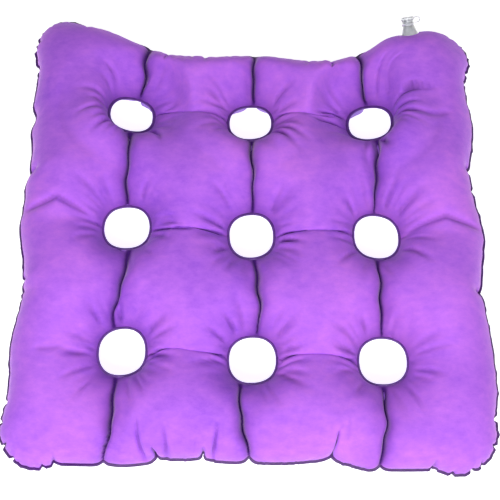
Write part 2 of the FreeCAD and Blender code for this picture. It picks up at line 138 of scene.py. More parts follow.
# How the blown-up cover lies: small bends of the whole, and rings that lean back at the back. Bands are in
# hole spacings from the middle, and a swell is a side, a row, a width and how far it goes out.
ROW_BOW = 0.004
SKEW = 0.024
BACK_SHOULDER = (0.85, 1.4)
BACK_SLANT = 0.014
FRONT_FILL = 0.007
BACK_TAPER = 0.011
SIDE_SWELLS = ((-1, 0.42, 0.2, 0.008), (-1, 0.97, 0.08, -0.005), (-1, -0.42, 0.1, 0.003))
SIDE_SWELLS += ((-1, -1.1, 0.3, -0.003), (1, 1.2, 0.3, -0.0045), (1, -0.5, 0.3, 0.005))
SIDE_SWELLS += ((1, -1.25, 0.2, 0.004),)
FIT_REACH = 0.06
BACK_DROP = -0.005
BACK_PULL = 0.0175
BACK_PULL_BAND, BACK_SLANT_BAND = (1.15, 1.75), (1, 1.8)
BACK_TAPER_BAND, FRONT_FILL_BAND, BACK_DROP_BAND = (0.6, 1.4), (1.2, 1.75), (-0.2, 1.8)
SWELL_BAND = (1.45, 1.75)
CORNER_PUSH = (-0.003, 0.006)
CORNER_BAND = ((1.35, 1.75), (1.35, 1.7))
ROW_LEAN = {-1: 4, 0: 6, 1: 18}
COLUMN_LEAN = -19
LEAN_HELD, LEAN_FADED = 0.028, 0.062

# The folds along the columns of holes, front edge to back edge: bow, wave and slant of each stretch.
# FOLD_SWELL is a fold's least width, how it grows along its stretch, and how much and how often it waves.
FOLD_ENDS = np.array([-1.83, -1, 0, 1, 1.7])
FOLDS = {
    -1: np.array([(0.003, 0.002, -0.009), (-0.002, -0.005, 0), (-0.002, 0, 0), (0, 0, 0.012)]),
    0: np.array([(-0.008, 0.002, 0.002), (0.007, 0.002, 0), (0, 0.001, 0), (0, 0, 0)]),
    1: np.array([(0.004, 0, -0.003), (0.001, 0.001, 0), (0.001, -0.002, 0), (0, 0, -0.014)]),
}
FOLD_SWELL = (0.55, 1.2, 0.25, 11)
NOTCH_BAND, NOTCH_WIDTH = (1.4, 1.75), 0.005
# How hollow a point must be for its painted shade to be full.
HOLLOW_SHADE_FULL = 0.0012
FOLD_WIDTH, FOLD_DEPTH, FOLD_LIP, FOLD_PINCH = 0.0042, 0.78, 0.008, 0.42
# FOLD_SHADE is the width of the dark line of painted shade along a fold; the others here shape the fold itself.
FOLD_SHADE, FOLD_WAVER, FOLD_NOTCH = 0.0022, 0.0006, 0.0035
# A soft painted shade round the rings and along the folds: how dark, and how wide.
HALO_SHADE, HALO_SHADE_WIDTH = 0.38, 0.007

# Below REST_BAND the cover rests, and keeps only this share of its roundness.
REST_BAND, REST_GIVE = 0.003, 0.15

# The wrinkles round a ring: how many, how deep, how long, how wide (in radians); and how the ring is drawn
# in and out of round.
WRINKLES, WRINKLE_DEPTH = 18, 0.0034
WRINKLE_LENGTH, WRINKLE_WIDTH, WRINKLE_RISE = (0.042, 0.066), (0.05, 0.09), (0.031, 0.033)
RING_DRAW, RING_FADE = 0.03, 0.045
SQUARENESS, OVALNESS = 0.018, 0.02

# Ironing smooths the simulated creases across the outer chambers, at the corner rows and at the middle
# row, and along the columns.
IRONING = 140
IRON_STEP = 0.6
IRON_CORNER_ROWS, IRON_MIDDLE_ROW, IRON_OUTSIDE = 0.33, (0.8, 0.3), (1.22, 1.4)
IRON_COLUMNS = (0.5, 0.010)
IRON_OFF_SEAM, IRON_OFF_RINGS = (0.004, 0.02), (0.002, 0.012)

# Creases across the outer chambers: two ends and how far they peak, in hole spacings, and their depth.
CREASES = (((-1.24, 0.08), (-1.8, 0.12), 0.1, 0.0045), ((1.2, 0.0), (1.82, 0.03), 0.08, 0.0048))
CREASES += (((-1.25, -1.02), (-1.6, -0.98), 0.03, 0.002), ((1.28, 0.93), (1.6, 0.98), -0.02, 0.0018))
CREASE_WIDTH, CREASE_PEAK = 0.0032, 1.4

# The valve, from the middle of its foot on the cover: up its axis, down the slope, and towards the strap.
# The crown is the cover's own round there.
JOINTS = {joint["name"]: joint for joint in frame["joints"]}
MOUNTS = {mount["name"]: mount for mount in frame["record"]["mounts"]}
MOUTH_HEIGHT = 0.013
VALVE_AXIS = np.array(JOINTS["stem_push"]["axis"])
VALVE_PLACE = np.array(MOUNTS["inflation_mouth"]["pos_m"]) - MOUTH_HEIGHT * VALVE_AXIS
VALVE_DOWN = np.array(JOINTS["flap_open"]["axis"])
VALVE_SIDE = np.cross(VALVE_DOWN, VALVE_AXIS)
CROWN_DOWN, CROWN_ACROSS, CROWN_LIFT = 0.034, 0.3, 0.0004
VALVE_FIT = (0.014, 0.045)
VALVE_BORE = 0.0088

# Sections of the skirt, as (radius, height), and of the strap and its collar. VALVE_ROUND is how far the
# edges of the valve's other pieces are rounded.
SLEEVE = [(0.0089, -0.0021), (0.0092, -0.0020), (0.0092, 0.0004), (0.0080, 0.0032), (0.0068, 0.0056)]
SLEEVE += [(0.0058, 0.0072), (0.0053, 0.0074), (0.0052, 0.0070), (0.0062, 0.0054), (0.0075, 0.0030)]
SLEEVE += [(0.0088, 0.0004)]
COLLAR_INNER, COLLAR_OUTER, COLLAR_DEPTH = 0.00508, 0.00638, 0.002
STRAP_LOW, STRAP_HIGH, STRAP_END = 0.0094, 0.0141, 0.0056
STRAP_BEND, STRAP_RADIUS = (0.00915, 0.01175), 0.00235
STRAP_WIDTH, STRAP_THICK, STRAP_LAP, STRAP_RUN = 0.003, 0.0009, 0.0006, 0.001
VALVE_ROUND = 0.0002

# The welds' lips, and the number of the cloth's outermost loop.
LIP_THICK, LIP_LAP, EDGE_WIDTH, EDGE_SWAY = 0.0013, 0.0006, 0.0031, 0.4
RIM = len(RING_NODES) + 1

FLOCK, FLOCK_DARK, FLOCK_LIGHT = (0.47, 0.142, 0.83), (0.35, 0.102, 0.77), (0.59, 0.178, 0.86)
# Painted shade: the colour the flock is darkened to deep in creases, along the folds and round the rings.
FLOCK_PAINTED_SHADE = (0.05, 0.006, 0.15)
FILM, FILM_DARK = (0.3, 0.1, 0.62), (0.24, 0.08, 0.52)
WELD, WELD_DARK = (0.14, 0.042, 0.29), (0.09, 0.025, 0.2)
EDGE, EDGE_DARK = (0.09, 0.015, 0.18), (0.05, 0.008, 0.11)

FLOOR_SIZE, FLOOR_GAP = 12, 0.0005
CAMERA_PLACE = (0, -0.2128, 0.7273)
CAMERA_TURN = (15.91, -0.16, 0.85)
CAMERA_LENS, CAMERA_SENSOR = 59.3, 36

# Which sheet a triangle is in; the hem is the strip outside the weld line.
TOP, BOTTOM, HEM = 0, 1, 2


# ---------------------------------------------------------------- the flat pattern


def rounded_loop(half, corner, step):
    """Points along a rectangle with round corners, anticlockwise."""
    centres = [(1, 1), (-1, 1), (-1, -1), (1, -1)]
    points = []
    for k, (sign_x, sign_y) in enumerate(centres):
        centre = np.array([sign_x, sign_y]) * (half - corner)
        count = max(3, round(corner * math.pi / 2 / step))
        for angle in k * math.pi / 2 + np.arange(count + 1) * math.pi / 2 / count:
            points.append(centre + corner * np.array([math.cos(angle), math.sin(angle)]))
        next_x, next_y = centres[(k + 1) % 4]
        turn = (k + 1) * math.pi / 2
        reach = corner * np.array([math.cos(turn), math.sin(turn)])
        end = np.array([next_x, next_y]) * (half - corner) + reach
        start = points[-1]
        count = max(2, round(np.linalg.norm(end - start) / step))
        points += [start + (end - start) * n / count for n in range(1, count)]
    return np.array(points)


def past_seam(points):
    """Distance outside the weld line, negative inside it."""
    q = np.abs(points) - (FLAT_HALF - FLAT_CORNER)
    return np.linalg.norm(np.maximum(q, 0), axis=1) + np.minimum(q.max(1), 0) - FLAT_CORNER


def nearest_hole(points):
    return FLAT_PITCH * np.clip(np.round(points / FLAT_PITCH), -1, 1)


def past_rings(points):
    """Distance outside the nearest ring weld, negative inside it."""
    return np.linalg.norm(points - nearest_hole(points), axis=1) - RING_RADIUS


def flat_pattern(step):
    """Points, triangles, and which loop each point is on: 0 the weld line, 1 to 9 the rings, 10 the rim."""
    count = round(2 * math.pi * RING_RADIUS / step)
    circle = np.arange(count) / count
    circle = RING_RADIUS * np.stack([np.cos(2 * math.pi * circle), np.sin(2 * math.pi * circle)], 1)
    holes = [FLAT_PITCH * np.array([column, row]) for row in (-1, 0, 1) for column in (-1, 0, 1)]
    loops = [rounded_loop(FLAT_HALF, FLAT_CORNER, step)]
    loops += [hole + circle for hole in holes]
    loops.append(rounded_loop(FLAT_HALF + WELD_WIDTH, FLAT_CORNER + WELD_WIDTH, step))
    rise = 0.866
    half_rows, half_columns = round(FLAT_HALF[1] / step / rise), round(FLAT_HALF[0] / step)
    rows, columns = np.arange(-half_rows, half_rows + 1), np.arange(-half_columns - 1, half_columns + 2)
    grid = np.array([((i + 0.5 * (j % 2)) * step, j * step * rise) for j in rows for i in columns])
    grid += np.random.RandomState(4).uniform(-GRID_JITTER, GRID_JITTER, grid.shape) * step
    inside = (past_seam(grid) < -GRID_CLEAR * step) & (past_rings(grid) > GRID_CLEAR * step)
    points = np.concatenate(loops + [grid[inside]])
    loop_of = np.full(len(points), -1)
    edges, first = [], 0
    for number, loop in enumerate(loops):
        count = len(loop)
        edges += [(first + k, first + (k + 1) % count) for k in range(count)]
        loop_of[first : first + count] = number
        first += count
    found = delaunay_2d_cdt([Vector(p) for p in points], edges, [], 0, 1e-7)
    points, triangles = np.array(found[0]), np.array(found[2])
    loop_of = loop_of[[source[0] for source in found[3]]]
    middles = points[triangles].mean(1)
    kept = (past_seam(middles) < WELD_WIDTH) & (past_rings(middles) > 0)
    triangles = triangles[kept]
    a, b, c = (points[triangles[:, k]] for k in range(3))
    clockwise = np.cross(b - a, c - a) < 0
    triangles[clockwise] = triangles[clockwise][:, ::-1]
    return points, triangles, loop_of


def two_sheets(points, triangles, loop_of):
    """The pattern as two sheets that share the points on the weld line, the rings and the rim."""
    outside = past_seam(points[triangles].mean(1)) > 0
    free = loop_of < 0
    below = np.arange(len(points))
    below[free] = len(points) + np.arange(free.sum())
    sheet = triangles[~outside]
    cloth = {
        "flat": np.concatenate([points, points[free]]),
        "triangles": np.concatenate([sheet, below[sheet][:, ::-1], triangles[outside]]),
        "part": np.repeat([TOP, BOTTOM, HEM], [len(sheet), len(sheet), outside.sum()]),
        "side": np.concatenate([free.astype(int), -np.ones(free.sum(), int)]),
        "loop": np.concatenate([loop_of, np.full(free.sum(), -1)]),
    }
    return cloth


def unique_edges(triangles):
    pairs = np.concatenate([triangles[:, [0, 1]], triangles[:, [1, 2]], triangles[:, [2, 0]]])
    return np.unique(np.sort(pairs, axis=1), axis=0)


def split_in_four(cloth, places):
    """Every triangle split in four, and the points' places with the edges' middles added."""
    flat, triangles = cloth["flat"], cloth["triangles"]
    edges = unique_edges(triangles)
    codes = edges[:, 0].astype(np.int64) * len(flat) + edges[:, 1]

    def middle(a, b):
        code = np.minimum(a, b).astype(np.int64) * len(flat) + np.maximum(a, b)
        return len(flat) + np.searchsorted(codes, code)

    a, b, c = triangles.T
    ab, bc, ca = middle(a, b), middle(b, c), middle(c, a)
    corners = ((a, ab, ca), (ab, b, bc), (ca, bc, c), (ab, bc, ca))
    ends = cloth["loop"][edges]
    loop = np.where(ends[:, 0] == ends[:, 1], ends[:, 0], -1)
    added = flat[edges].mean(1)
    round_hole = (loop >= 1) & (loop <= len(RING_NODES))
    centre = nearest_hole(added[round_hole])
    out = added[round_hole] - centre
    added[round_hole] = centre + RING_RADIUS * out / np.linalg.norm(out, axis=1)[:, None]
    finer = {
        "flat": np.concatenate([flat, added]),
        "triangles": np.concatenate([np.stack(corner, 1) for corner in corners]),
        "part": np.tile(cloth["part"], 4),
        "side": np.concatenate([cloth["side"], np.sign(cloth["side"][edges].sum(1))]),
        "loop": np.concatenate([cloth["loop"], loop]),
    }
    return finer, np.concatenate([places, places[edges].mean(1)])


# ---------------------------------------------------------------- inflation


def independent_groups(pairs, count):
    """Pairs sorted into groups in which no point comes twice, so that each group is solved at once."""
    used = [0] * count
    group = np.zeros(len(pairs), int)
    for k, (a, b) in enumerate(pairs.tolist()):
        taken = used[a] | used[b]
        number = 0
        while taken >> number & 1:
            number += 1
        group[k] = number
        used[a] |= 1 << number
        used[b] |= 1 << number
    return [pairs[group == number] for number in range(group.max() + 1)]


def across_edges(triangles):
    """The two points that face each other over every edge between two triangles."""
    facing = {}
    for corners in triangles.tolist():
        for k in range(3):
            a, b = corners[k], corners[k - 2]
            facing.setdefault((min(a, b), max(a, b)), []).append(corners[k - 1])
    return np.array([pair for pair in facing.values() if len(pair) == 2 and pair[0] != pair[1]])


def lengths(places, pairs):
    return np.linalg.norm(places[pairs[:, 1]] - places[pairs[:, 0]], axis=1)


def column_fold(flat):
    """1 along the three lines of holes that run front to back, 0 a little to their sides."""
    return np.exp(-((np.abs(flat - nearest_hole(flat))[:, 0] / COLUMN_WIDTH) ** 2))


def push_of_air(flat):
    """How hard the air lifts each point: less along the columns, where the film has kept its folds."""
    row = np.exp(-((np.abs(flat - nearest_hole(flat))[:, 1] / ROW_WIDTH) ** 2))
    fold = column_fold(flat)
    outside = smoothstep(np.abs(flat[:, 0]) / FLAT_PITCH, 1.1, 1.4)
    return 1 + (ROW_LIFT + OUTSIDE_LIFT * outside) * row * (1 - fold) - COLUMN_REST * fold


def pull_together(places, groups, rest, strength, squeeze):
    """Moves each group's pairs towards their rest lengths. squeeze is the share kept of a push apart."""
    for pairs, length in zip(groups, rest):
        apart = places[pairs[:, 1]] - places[pairs[:, 0]]
        now = np.sqrt((apart * apart).sum(1)) + 1e-12
        excess = (now - length) / now * 0.5 * strength
        move = apart * np.where(excess < 0, excess * squeeze, excess)[:, None]
        places[pairs[:, 0]] += move
        places[pairs[:, 1]] -= move


def hold_rings(places, rings, shapes):
    """The welded rings stay flat and round."""
    for ring, shape in zip(rings, shapes):
        centre = places[ring].mean(0)
        u, _, vt = np.linalg.svd((places[ring] - centre).T @ shape)
        turn = u @ np.diag([1, 1, np.sign(np.linalg.det(u @ vt))]) @ vt
        places[ring] += RING_HOLD * (shape @ turn.T + centre - places[ring])


def inflate(cloth, places, steps, air, step):
    """Steps the sheets under air pressure, with the film nearly unstretchable."""
    flat, triangles = cloth["flat"], cloth["triangles"]
    count = len(flat)
    laid_flat = np.concatenate([flat, np.zeros((count, 1))], 1)
    threads = independent_groups(unique_edges(triangles), count)
    thread_rest = [lengths(laid_flat, pairs) for pairs in threads]
    bends = across_edges(triangles)
    bends = bends[cloth["side"][bends].prod(1) >= 0]
    bends = independent_groups(bends, count)
    bend_rest = [lengths(laid_flat, pairs) for pairs in bends]
    rings = [np.nonzero(cloth["loop"] == number)[0] for number in range(1, len(RING_NODES) + 1)]
    shapes = [laid_flat[ring] - laid_flat[ring].mean(0) for ring in rings]
    blown = triangles[cloth["part"] != HEM]
    a, b, c = blown.T
    push = push_of_air(flat)[blown].mean(1)[:, None] * air / step**2 / 6
    sunk = 1 - FOLD_PULL * air / AIR * column_fold(flat) ** 2
    speed = np.zeros_like(places)
    for _ in range(steps):
        force = np.cross(places[b] - places[a], places[c] - places[a]) * push
        for axis in range(3):
            for corner in (a, b, c):
                speed[:, axis] += np.bincount(corner, force[:, axis], count)
        before = places.copy()
        places = places + speed
        places[:, 2] *= sunk
        pull_together(places, threads, thread_rest, 1, SQUEEZE)
        pull_together(places, bends, bend_rest, BENDING, 1)
        hold_rings(places, rings, shapes)
        speed = (places - before) * (1 - DAMPING)
    return places


def blown_up_cover():
    """The cloth, and where its points are once it is full of air, about its own middle."""
    cloth = two_sheets(*flat_pattern(COARSE_STEP))
    flat = cloth["flat"]
    chambers = np.abs(np.sin(np.pi * flat[:, 0] / FLAT_PITCH))
    edge = np.clip(-past_seam(flat) / START_EDGE, 0, 1) ** 0.5
    rise = cloth["side"] * (START_GAP + START_RISE * chambers * edge)
    places = np.concatenate([flat, rise[:, None]], 1)
    step = COARSE_STEP
    for level, steps in enumerate(LEVELS):
        if level:
            cloth, places = split_in_four(cloth, places)
            step /= 2
        shaken = np.random.RandomState(level).uniform(-LEVEL_JITTER, LEVEL_JITTER, len(places))
        places[:, 2] += shaken * step
        places = inflate(cloth, places, steps, AIR / AIR_DROP**level, step)
    return cloth, places - (places.max(0) + places.min(0)) / 2


# ---------------------------------------------------------------- how the blown-up cover lies


def loop_points(cloth, places, number):
    """The points on one loop of the pattern, in order round it."""
    on = np.nonzero(cloth["loop"] == number)[0]
    out = cloth["flat"][on] - cloth["flat"][on].mean(0)
    return places[on[np.argsort(np.arctan2(out[:, 1], out[:, 0]))]]


def ring_places(cloth, places):
    return np.array([loop_points(cloth, places, 1 + k).mean(0) for k in range(len(RING_NODES))])


def tilt_about(places, centre, lean, held, faded):
    """Turns what is near centre by lean, a rotation vector, and less with distance."""
    away = places - centre
    share = (1 - smoothstep(np.linalg.norm(away[:, :2], axis=1), held, faded))[:, None]
    return places + share * np.cross(lean, away)


def fitted_to_frame(cloth, places):
    """Moves the cover to where the frame has it, a little askew and pulled in at the back, as it lies."""
    places = places * (2 * PITCH / np.ptp(ring_places(cloth, places)[:, 0]))
    places[:, 2] += MID_Z
    rings = ring_places(cloth, places)
    wanted = RING_CENTRES.copy()
    wanted[:, :2] -= SKEW * RING_CENTRES[:, 1::-1]
    wanted[:, 1] += ROW_BOW * ((RING_CENTRES[:, 0] / PITCH) ** 2 - 2 / 3)
    spread = np.exp(-(((places[:, None, :2] - rings[None, :, :2]) ** 2).sum(2) / FIT_REACH**2))
    places = places + (spread / np.maximum(spread.sum(1), 1)[:, None]) @ (wanted - rings)
    x, y = places[:, 0] / PITCH, places[:, 1] / PITCH
    between = 1 - smoothstep(np.abs(x), *BACK_SHOULDER)
    places[:, 1] -= BACK_PULL * between * smoothstep(y, *BACK_PULL_BAND)
    places[:, 1] -= BACK_SLANT * places[:, 0] * smoothstep(y, *BACK_SLANT_BAND)
    places[:, 0] *= 1 - BACK_TAPER * smoothstep(y, *BACK_TAPER_BAND)
    for side, row, width, amount in SIDE_SWELLS:
        swell = np.exp(-(((y - row) / width) ** 2)) * smoothstep(side * x, *SWELL_BAND)
        places[:, 0] += side * amount * swell
    corner = smoothstep(-x, *CORNER_BAND[0]) * smoothstep(y, *CORNER_BAND[1])
    places[:, :2] += corner[:, None] * np.array(CORNER_PUSH)
    chambers = np.abs(np.sin(np.pi * x)) * (1 - smoothstep(np.abs(x), 0.95, 1.05))
    places[:, 1] -= FRONT_FILL * chambers * smoothstep(-y, *FRONT_FILL_BAND)
    return places


def bent(cloth, places):
    """Lets the back edge hang a little, leans the rings, and flattens the underside where it rests."""
    y = places[:, 1] / PITCH
    places[:, 2] += BACK_DROP * smoothstep(y, *BACK_DROP_BAND)
    for centre in ring_places(cloth, places):
        row, column = round(centre[1] / PITCH), round(centre[0] / PITCH)
        lean = np.array([-ROW_LEAN[row], COLUMN_LEAN * column * (row == 1), 0])
        places = tilt_about(places, centre, np.radians(lean), LEAN_HELD, LEAN_FADED)
    under = np.minimum(places[:, 2] - REST_BAND, 0)
    places[:, 2] -= (1 - REST_GIVE) * under
    return places


def fold_line(y, column):
    """How far beside its column of holes a fold runs at y, and how far along its stretch that is."""
    row = y / PITCH
    stretch = np.clip(np.floor(row) + 2, 0, 3).astype(int)
    start, end = FOLD_ENDS[stretch], FOLD_ENDS[stretch + 1]
    t = np.clip((row - start) / (end - start), 0, 1)
    bow, wave, slant = FOLDS[column][stretch].T
    outward = np.where(stretch == 0, 1 - t, t)
    waver = FOLD_WAVER * (np.sin(17 * row + 2 * column) + np.sin(29 * row + column)) * np.sin(np.pi * t)
    return bow * np.sin(np.pi * t) + wave * np.sin(2 * np.pi * t) + slant * outward + waver, t


def folded(cloth, places):
    """Draws both sheets in along the folds that run front to back through the holes, and adds the creases.

    cloth["fold"] then holds painted shade for each point: a dark line along every fold, and a soft halo of shade
    along the folds and round the rings.
    """
    rings = ring_places(cloth, places)
    nearest = np.linalg.norm(places[:, None, :2] - rings[None, :, :2], axis=2).min(1)
    clear = smoothstep(nearest, RING_RADIUS - 0.001, RING_RADIUS + 0.004)
    # Painted shade: a soft halo of shade round every ring.
    cloth["fold"] = HALO_SHADE * np.exp(-((np.maximum(nearest - RING_RADIUS, 0) / HALO_SHADE_WIDTH) ** 1.2))
    least, grown, waved, waves = FOLD_SWELL
    for column in (-1, 0, 1):
        aside, along = fold_line(places[:, 1], column)
        off = places[:, 0] - column * PITCH - aside
        near = np.abs(off)
        swell = least + grown * along**2 + waved * np.sin(waves * places[:, 1] / PITCH + 2 * column)
        places[:, 0] -= off * clear * FOLD_PINCH * np.exp(-((near / FOLD_LIP) ** 2))
        sunk = clear * FOLD_DEPTH * np.exp(-((near / (FOLD_WIDTH * swell)) ** 1.3))
        places[:, 2] -= (places[:, 2] - MID_Z) * sunk
        at_edge = smoothstep(np.abs(places[:, 1]) / PITCH, *NOTCH_BAND)
        at_edge *= np.exp(-((near / NOTCH_WIDTH) ** 2))
        places[:, 1] -= np.sign(places[:, 1]) * FOLD_NOTCH * at_edge
        # Painted shade: a dark line along the fold, and a soft halo of shade beside it.
        cloth["fold"] += clear * np.exp(-((near / (FOLD_SHADE * swell)) ** 2))
        cloth["fold"] += HALO_SHADE * np.exp(-((near / HALO_SHADE_WIDTH) ** 1.2))
    for (x0, y0), (x1, y1), bow, depth in CREASES:
        along = (places[:, 0] / PITCH - x0) / (x1 - x0)
        line = y0 + (y1 - y0) * along + bow * np.clip(1 - np.abs(2 * along - 1), 0, 1) ** CREASE_PEAK
        near = np.abs(places[:, 1] - line * PITCH)
        ends = smoothstep(along, -0.1, 0.2) * (1 - smoothstep(along, 0.8, 1.1))
        places[:, 2] -= cloth["side"] * depth * ends * np.exp(-((near / CREASE_WIDTH) ** 1.5))
    return places


def puckered(cloth, places):
    """Adds the short wrinkles that run out from every ring, and pulls the rings a little out of round."""
    chance = np.random.RandomState(11)
    for centre in ring_places(cloth, places):
        away = places[:, :2] - centre[:2]
        reach = np.linalg.norm(away, axis=1)
        angle = np.arctan2(away[:, 1], away[:, 0])
        square = chance.uniform(-0.5, 0.5)
        out_of_round = SQUARENESS * np.cos(4 * angle + 3 + square)
        out_of_round += OVALNESS * np.cos(2 * angle + 6 * square)
        near = 1 - smoothstep(reach, RING_RADIUS, RING_FADE)
        places[:, :2] += away * ((out_of_round - RING_DRAW) * near)[:, None]
        ripple = np.zeros(len(places))
        for _ in range(WRINKLES):
            apart = np.abs((angle - chance.uniform(-np.pi, np.pi) + np.pi) % (2 * np.pi) - np.pi)
            longest = chance.uniform(*WRINKLE_LENGTH)
            fade = smoothstep(reach, RING_RADIUS + 0.001, WRINKLE_RISE[0])
            fade *= 1 - smoothstep(reach, WRINKLE_RISE[1], longest)
            depth = chance.uniform(0.4, 1)
            ripple += depth * fade * np.exp(-((apart / chance.uniform(*WRINKLE_WIDTH)) ** 2))
        places[:, 2] -= cloth["side"] * WRINKLE_DEPTH * ripple
    return places


def ironed(cloth, places):
    """Smooths the creases across the outer chambers at the rows of holes, and those along the columns."""
    x, y = np.abs(places[:, 0]) / PITCH, places[:, 1] / PITCH
    middle, middle_width = IRON_MIDDLE_ROW
    row = np.exp(-(((np.abs(y) - 1) / IRON_CORNER_ROWS) ** 2)) + middle * np.exp(-((y / middle_width) ** 2))
    share = np.clip(row, 0, 1) * smoothstep(x, *IRON_OUTSIDE)
    off_column = np.abs(places[:, 0] - PITCH * np.clip(np.round(places[:, 0] / PITCH), -1, 1))
    share = np.maximum(share, IRON_COLUMNS[0] * np.exp(-((off_column / IRON_COLUMNS[1]) ** 2)))
    share *= smoothstep(-past_seam(cloth["flat"]), *IRON_OFF_SEAM)
    share *= smoothstep(past_rings(cloth["flat"]), *IRON_OFF_RINGS)
    edges = unique_edges(cloth["triangles"])
    count = np.bincount(edges.ravel(), minlength=len(places))
    for _ in range(IRONING):
        for axis in range(3):
            total = np.bincount(edges[:, 0], places[edges[:, 1], axis], len(places))
            total += np.bincount(edges[:, 1], places[edges[:, 0], axis], len(places))
            places[:, axis] += share * IRON_STEP * (total / count - places[:, axis])
    return places


def fitted_to_valve(cloth, places):
    """Lays the upper sheet on the crown that the frame's valve stands on, and opens it there.

    The points inside the valve's bore are moved to its edge, and the second result says which they are.
    """
    away = places - VALVE_PLACE
    height = away @ VALVE_AXIS
    reach = np.linalg.norm(away - height[:, None] * VALVE_AXIS, axis=1)
    share = (1 - smoothstep(reach, *VALVE_FIT)) * (np.abs(height) < VALVE_FIT[1]) * (cloth["side"] > 0)
    crown = CROWN_LIFT - (away @ VALVE_DOWN) ** 2 / (2 * CROWN_DOWN)
    crown -= (away @ VALVE_SIDE) ** 2 / (2 * CROWN_ACROSS)
    places = places + (share * (crown - height))[:, None] * VALVE_AXIS
    bored = (reach < VALVE_BORE) & (np.linalg.norm(away, axis=1) < 2 * VALVE_BORE) & (cloth["side"] > 0)
    away = places - VALVE_PLACE
    out = away - (away @ VALVE_AXIS)[:, None] * VALVE_AXIS
    places[bored] += (out * (VALVE_BORE / np.maximum(reach, 1e-6) - 1)[:, None])[bored]
    return places, bored


# ---------------------------------------------------------------- meshes


def mesh_object(name, points, faces):
    mesh = bpy.data.meshes.new(name)
    mesh.from_pydata([tuple(p) for p in points], [], [tuple(f) for f in faces])
    mesh.update()
    mesh.polygons.foreach_set("use_smooth", [True] * len(mesh.polygons))
    made = bpy.data.objects.new(name, mesh)
    bpy.context.scene.collection.objects.link(made)
    return made


def swept(name, sections, closed_path=True):
    """A surface through closed sections, an array of path length x section points x 3."""
    path, around, _ = sections.shape
    faces = []
    for i in range(path if closed_path else path - 1):
        here, there = i * around, (i + 1) % path * around
        for j in range(around):
            beside = (j + 1) % around
            faces.append((here + j, here + beside, there + beside, there + j))
    if not closed_path:
        faces += [tuple(range(around))[::-1], tuple(range((path - 1) * around, path * around))]
    return mesh_object(name, sections.reshape(-1, 3), faces)


def sheet_object(name, cloth, places, kept):
    """The triangles kept, as an object that knows at each point how much painted shade it gets: from how deep it
    lies in creases, and from the shade painted along the folds and round the rings.
    """
    used, numbered = np.unique(cloth["triangles"][kept], return_inverse=True)
    numbered = numbered.reshape(-1, 3)
    made = mesh_object(name, places[used], numbered)
    # Painted shade: the darker of the shade for lying hollow and the shade painted along the folds and round the
    # rings, kept on the mesh for the flock's colour.
    depth = np.maximum(painted_hollow_shade(places[used], numbered), np.clip(cloth["fold"][used], 0, 1))
    made.data.attributes.new("painted_crease_shade", "FLOAT", "POINT").data.foreach_set("value", depth.astype(np.float32))
    return made


def painted_hollow_shade(points, triangles):
    """Painted shade for hollows: 0 on the open surface and 1 at the bottom of sharp creases, from how far each
    point lies below its neighbours.
    """
    a, b, c = (points[triangles[:, k]] for k in range(3))
    face = np.cross(b - a, c - a)
    normal = np.zeros_like(points)
    for axis in range(3):
        for corner in triangles.T:
            normal[:, axis] += np.bincount(corner, face[:, axis], len(points))
    normal /= np.linalg.norm(normal, axis=1)[:, None] + 1e-12
    edges = unique_edges(triangles)
    count = np.bincount(edges.ravel(), minlength=len(points))[:, None]

    def around(values):
        total = np.zeros_like(values)
        for axis in range(values.shape[1]):
            total[:, axis] += np.bincount(edges[:, 0], values[edges[:, 1], axis], len(points))
            total[:, axis] += np.bincount(edges[:, 1], values[edges[:, 0], axis], len(points))
        return total / count

    below = ((around(around(points)) - points) * normal).sum(1)[:, None]
    below = around(below)[:, 0]
    return np.clip(below / HOLLOW_SHADE_FULL, 0, 1)


def lens_profile(half_width, half_thick, count=12):
    """A flat oval: (along the width, across it) at count points."""
    turn = 2 * math.pi * np.arange(count) / count
    return np.stack([half_width * np.cos(turn), half_thick * np.sin(turn)], 1)


def ring_lip(name, loop):
    """The flat welded ring, from the hole's edge to the loop of points where the sheets part."""
    centre = loop.mean(0)
    normal = np.linalg.svd(loop - centre)[2][2]
    normal *= np.sign(normal[2])
    out = loop - centre
    out -= np.outer(out @ normal, normal)
    reach = np.linalg.norm(out, axis=1)
    out /= reach[:, None]
    lift = (loop - centre) @ normal
    profile = lens_profile(0.5, LIP_THICK / 2)
    inner = HOLE_RADIUS * reach / reach.mean()
    width = reach + LIP_LAP - inner
    along = inner[:, None] + width[:, None] * (0.5 + profile[None, :, 0])
    across = profile[None, :, 1] + lift[:, None]
    sections = centre + out[:, None] * along[:, :, None] + normal * across[:, :, None]
    return swept(name, sections)


def edge_lip(name, seam, rim):
    """The welded edge: a thin lip outside the weld line, which leans as the cloth's edge does."""
    out = rim_direction(seam, rim)
    along = np.roll(seam, -1, axis=0) - np.roll(seam, 1, axis=0)
    across = np.cross(along, out)
    across /= np.linalg.norm(across, axis=1)[:, None]
    profile = lens_profile(EDGE_WIDTH / 2, LIP_THICK / 2)
    sections = seam[:, None] + out[:, None] * (EDGE_WIDTH / 2 - LIP_LAP + profile[None, :, :1])
    sections = sections + across[:, None] * profile[None, :, 1:]
    return swept(name, sections)


def rim_direction(seam, rim):
    """Unit directions out from the weld line, which sway up and down with the rim."""
    sway = np.array([rim[np.argmin(((rim - p) ** 2).sum(1))] for p in seam]) - seam
    along = np.roll(seam, -1, axis=0) - np.roll(seam, 1, axis=0)
    out = np.stack([along[:, 1], -along[:, 0], 0 * along[:, 0]], 1)
    out /= np.linalg.norm(out, axis=1)[:, None]
    out[:, 2] += EDGE_SWAY * sway[:, 2] / WELD_WIDTH
    for _ in range(4):
        out = out + np.roll(out, 1, axis=0) + np.roll(out, -1, axis=0)
    return out / np.linalg.norm(out, axis=1)[:, None]


def valve_turned(points):
    """Places of points given from the valve's foot: towards the strap, down the slope, up the axis."""
    return VALVE_PLACE + np.asarray(points) @ np.stack([VALVE_SIDE, VALVE_DOWN, VALVE_AXIS])


